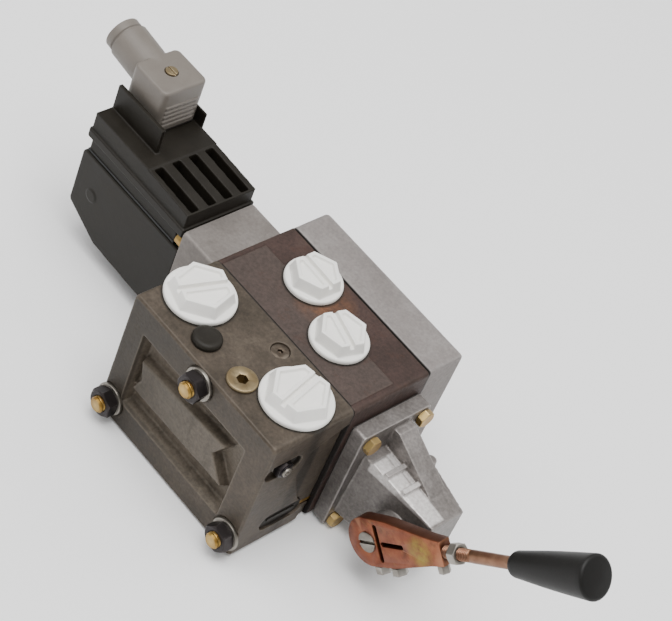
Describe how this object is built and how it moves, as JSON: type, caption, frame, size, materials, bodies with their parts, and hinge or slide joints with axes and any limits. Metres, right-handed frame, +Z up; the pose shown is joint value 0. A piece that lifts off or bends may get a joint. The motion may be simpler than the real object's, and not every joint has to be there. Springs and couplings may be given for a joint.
{
  "type": "hydraulic directional control valve",
  "caption": "Stackable hydraulic directional valve: iron inlet and work sections, alloy end plate, tie rods, plugged ports, electric actuator with connector, and a hand lever.",
  "frame": {"origin": "centre of the pattern of four tapped mounting holes, in the underside's plane", "axes": "+Z up, the way the ports open; +X towards the hand lever; +Y from the inlet section to the end plate"},
  "size_m": [0.3638, 0.1272, 0.1291],
  "materials": {
    "inlet_casting": "rough cast, olive brown oil film",
    "work_casting": "rough cast, reddish brown",
    "plate_aluminium": "die cast, matte",
    "housing_aluminium": "die cast, matte",
    "block_aluminium": "die cast, matte",
    "white_plastic": "moulded, slightly translucent",
    "black_plastic": "moulded, fine grain",
    "knob_plastic": "satin",
    "grey_plastic": "moulded, satin",
    "black_steel": "black oxide",
    "bright_steel": "ground",
    "zinc_steel": "zinc plated",
    "yellow_zinc": "yellow chromate",
    "orange_zinc": "orange chromate with an iridescent patch",
    "copper_zinc": "copper coloured chromate",
    "brass": "satin",
    "spring_steel": "drawn wire",
    "bronze": "sintered",
    "copper": "enamelled winding",
    "circuit_green": "solder mask",
    "stained_steel": "oil stained",
    "seal_rubber": "matte",
    "gasket": "matte"
  },
  "bodies": {
    "valve_body": {"inlet_section": "inlet_casting", "work_section": "work_casting", "end_plate": "plate_aluminium", "section_seals": "seal_rubber", "tie_rods": "yellow_zinc", "tie_rod_washers": "zinc_steel", "tie_rod_nuts": "black_steel", "pump_port_plug": "white_plastic", "tank_port_plug": "white_plastic", "work_port_plug_a": "white_plastic", "work_port_plug_b": "white_plastic", "load_sense_plug": "black_plastic", "gauge_port_plug": "brass", "pilot_port_plug": "stained_steel", "drain_plug": "black_plastic", "relief_valve_washer": "zinc_steel", "relief_valve_body": "black_steel", "relief_spring": "spring_steel", "relief_adjusting_screw": "zinc_steel", "bypass_spring": "spring_steel", "bypass_end_plug": "zinc_steel", "compensator_spring": "spring_steel", "compensator_plug": "zinc_steel", "lever_housing_gasket": "gasket", "lever_housing": "housing_aluminium", "lever_housing_bolts": "yellow_zinc", "lever_shaft_bushes": "bronze", "spring_cups": "zinc_steel", "centring_spring": "spring_steel", "pilot_block": "block_aluminium", "pilot_block_screws": "yellow_zinc", "solenoid_coils": "copper", "solenoid_spring_a": "spring_steel", "solenoid_spring_b": "spring_steel", "sensor_tube": "bright_steel", "sensor_winding": "copper", "circuit_board": "circuit_green", "actuator_housing": "black_plastic", "actuator_cover": "black_plastic", "cover_seal": "seal_rubber", "connector_base": "black_plastic", "connector_gasket": "gasket", "connector_body": "grey_plastic", "cable_gland_nut": "grey_plastic", "cable_grommet": "seal_rubber", "connector_screw": "brass"},
    "main_spool": {"main_spool": "bright_steel", "sensor_core": "bright_steel"},
    "hand_lever": {"lever_shaft": "zinc_steel", "lever_cam_arm": "bright_steel", "lever_base": "orange_zinc", "lever_base_screws": "zinc_steel", "lever_rod": "copper_zinc", "lever_lock_nut": "zinc_steel", "lever_knob": "knob_plastic"},
    "bypass_spool": {"bypass_spool": "bright_steel"},
    "compensator_spool": {"compensator_spool": "bright_steel"},
    "relief_poppet": {"relief_poppet": "bright_steel"},
    "solenoid_plunger_a": {"solenoid_plunger_a": "bright_steel"},
    "solenoid_plunger_b": {"solenoid_plunger_b": "bright_steel"}
  },
  "joints": [
    {"name": "lever_swing", "type": "hinge", "parent": "valve_body", "child": "hand_lever", "pos_m": [0.0866, -0.0187, 0.0276], "axis": [0, 1, 0], "range_deg": [-19.5, 19.5], "stiffness_Nm_per_rad": 6},
    {"name": "spool_travel", "type": "slide", "parent": "valve_body", "child": "main_spool", "axis": [1, 0, 0], "range_m": [-0.004, 0.004]},
    {"name": "bypass_travel", "type": "slide", "parent": "valve_body", "child": "bypass_spool", "axis": [1, 0, 0], "range_m": [-0.006, 0], "stiffness_N_per_m": 1500, "springref_m": 0.003, "deforming": ["bypass_spring"]},
    {"name": "compensator_travel", "type": "slide", "parent": "valve_body", "child": "compensator_spool", "axis": [1, 0, 0], "range_m": [0, 0.004], "stiffness_N_per_m": 1200, "springref_m": -0.003, "deforming": ["compensator_spring"]},
    {"name": "relief_lift", "type": "slide", "parent": "valve_body", "child": "relief_poppet", "axis": [1, 0, 0], "range_m": [0, 0.0015], "stiffness_N_per_m": 4000, "springref_m": -0.001, "deforming": ["relief_spring"]},
    {"name": "solenoid_press_a", "type": "slide", "parent": "valve_body", "child": "solenoid_plunger_a", "axis": [1, 0, 0], "range_m": [-0.0008, 0], "stiffness_N_per_m": 600, "springref_m": 0.001, "deforming": ["solenoid_spring_a"]},
    {"name": "solenoid_press_b", "type": "slide", "parent": "valve_body", "child": "solenoid_plunger_b", "axis": [1, 0, 0], "range_m": [-0.0008, 0], "stiffness_N_per_m": 600, "springref_m": 0.001, "deforming": ["solenoid_spring_b"]}
  ],
  "couplings": [
    {"joint": "spool_travel", "follows": "lever_swing", "m_per_rad": 0.0114}
  ]
}
